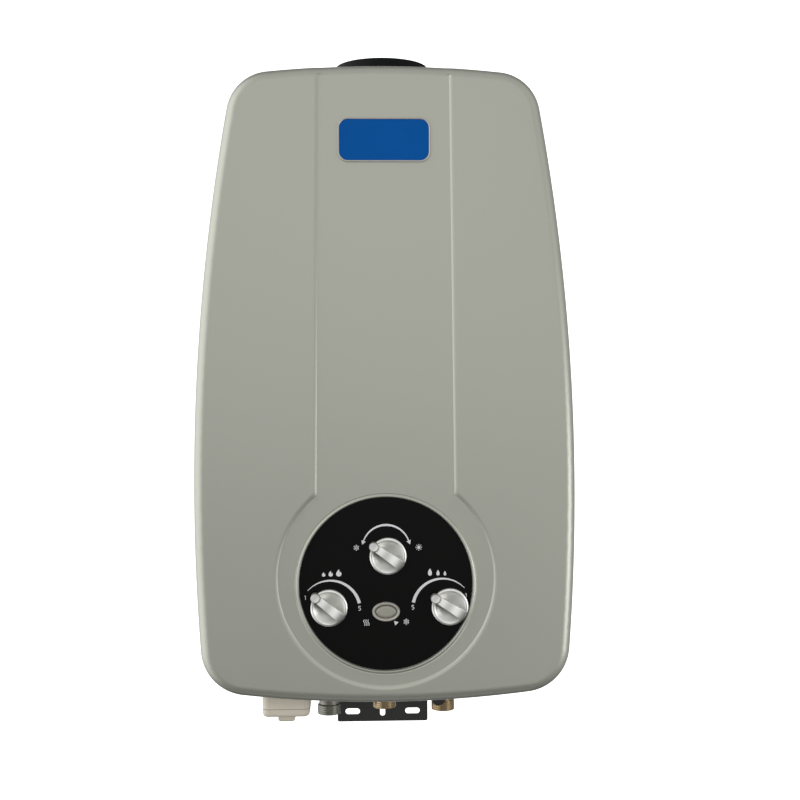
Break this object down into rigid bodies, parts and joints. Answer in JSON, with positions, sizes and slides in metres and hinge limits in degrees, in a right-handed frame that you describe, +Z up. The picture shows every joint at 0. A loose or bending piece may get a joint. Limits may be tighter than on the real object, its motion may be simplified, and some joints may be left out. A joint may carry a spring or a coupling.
{
  "type": "instant gas water heater",
  "caption": "Wall-hung gas water heater with a bowed steel cover, round black control panel with turning knobs, flue collar on top, battery box and pipe fittings below.",
  "frame": {"origin": "on the rear face of the back plate, which lies on the wall, at mid width and at mid height of the front cover", "axes": "+X to the right of a person who faces the heater, +Y into the wall, +Z up"},
  "size_m": [0.3348, 0.1716, 0.6231],
  "materials": {
    "cover_paint": "satin silver-grey",
    "badge_blue": "gloss",
    "zinc_steel": "zinc plated, satin",
    "black_enamel": "satin black",
    "panel_black": "gloss black",
    "knob_silver": "satin silver",
    "bezel_grey": "satin",
    "sight_glass": "clear, slightly smoked",
    "brass_fittings": "machined",
    "copper": "drawn copper",
    "cast_aluminium": "as cast",
    "electrode_ceramic": "glazed",
    "diaphragm_rubber": "matt",
    "lead_rubber": "matt",
    "dark_plastic": "matt",
    "box_plastic": "satin",
    "cell_wrap": "gloss"
  },
  "bodies": {
    "casing": {"back_plate": "zinc_steel", "badge_plate": "badge_blue", "base_plate": "zinc_steel", "battery_box": "box_plastic", "battery_cells": "cell_wrap", "battery_contacts": "zinc_steel", "battery_lid_pin": "zinc_steel", "burner_bars": "zinc_steel", "burner_frame": "zinc_steel", "chassis_screws": "zinc_steel", "cold_inlet_fitting": "brass_fittings", "collar_screws": "zinc_steel", "control_panel": "panel_black", "cover_screws": "zinc_steel", "diaphragm": "diaphragm_rubber", "electrode_bracket": "zinc_steel", "electrode_ceramics": "electrode_ceramic", "electrode_rods": "zinc_steel", "exchanger_brackets": "zinc_steel", "exchanger_fins": "copper", "exchanger_jacket": "copper", "exchanger_tubes": "copper", "fitting_locknuts": "brass_fittings", "flue_collar": "black_enamel", "flue_hood": "zinc_steel", "front_cover": "cover_paint", "gas_feed_pipe": "copper", "gas_injectors": "brass_fittings", "gas_inlet_fitting": "zinc_steel", "gas_manifold": "cast_aluminium", "gas_valve_body": "cast_aluminium", "hanger_plate": "zinc_steel", "hot_outlet_fitting": "brass_fittings", "hot_outlet_pipe": "copper", "igniter_box": "dark_plastic", "jacket_coil": "copper", "leads": "lead_rubber", "lower_wall_bracket": "black_enamel", "microswitch_body": "dark_plastic", "panel_screws": "zinc_steel", "season_valve_body": "cast_aluminium", "sight_bezel": "bezel_grey", "sight_lens": "sight_glass", "solenoid_can": "zinc_steel", "valve_bracket": "zinc_steel", "water_valve_body": "brass_fittings", "water_valve_bolts": "zinc_steel", "water_valve_cover": "brass_fittings"},
    "season_dial": {"season_knob": "knob_silver", "season_shaft": "zinc_steel"},
    "gas_dial": {"gas_knob": "knob_silver", "gas_shaft": "zinc_steel"},
    "water_dial": {"water_knob": "knob_silver", "water_shaft": "zinc_steel"},
    "battery_door": {"battery_lid": "box_plastic", "lid_springs": "zinc_steel"},
    "linkage": {"linkage_rod": "brass_fittings"},
    "switch_lever": {"microswitch_lever": "dark_plastic"},
    "solenoid_core": {"solenoid_plunger": "zinc_steel"},
    "drain_screw": {"drain_plug": "panel_black"}
  },
  "joints": [
    {"name": "season_turn", "type": "hinge", "parent": "casing", "child": "season_dial", "pos_m": [0.0018, -0.16, -0.1476], "axis": [0, 1, 0], "range_deg": [0, 120]},
    {"name": "gas_turn", "type": "hinge", "parent": "casing", "child": "gas_dial", "pos_m": [-0.0492, -0.16, -0.1918], "axis": [0, 1, 0], "range_deg": [0, 130]},
    {"name": "water_turn", "type": "hinge", "parent": "casing", "child": "water_dial", "pos_m": [0.0551, -0.16, -0.1918], "axis": [0, 1, 0], "range_deg": [-18, 107]},
    {"name": "battery_door_swing", "type": "hinge", "parent": "casing", "child": "battery_door", "pos_m": [-0.088, -0.0585, -0.2853], "axis": [1, 0, 0], "range_deg": [0, 95]},
    {"name": "linkage_push", "type": "slide", "parent": "casing", "child": "linkage", "axis": [-1, 0, 0], "range_m": [0, 0.004], "stiffness_N_per_m": 400},
    {"name": "switch_lever_swing", "type": "hinge", "parent": "casing", "child": "switch_lever", "pos_m": [-0.0023, -0.0873, -0.21], "axis": [0, -1, 0], "range_deg": [0, 18.4]},
    {"name": "solenoid_pull", "type": "slide", "parent": "casing", "child": "solenoid_core", "axis": [-1, 0, 0], "range_m": [0, 0.003], "stiffness_N_per_m": 300},
    {"name": "drain_turn", "type": "hinge", "parent": "casing", "child": "drain_screw", "pos_m": [0.0483, -0.1, -0.2845], "axis": [0, 1, 0], "continuous": true}
  ],
  "couplings": [
    {"joint": "switch_lever_swing", "follows": "linkage_push", "rad_per_m": 80}
  ]
}
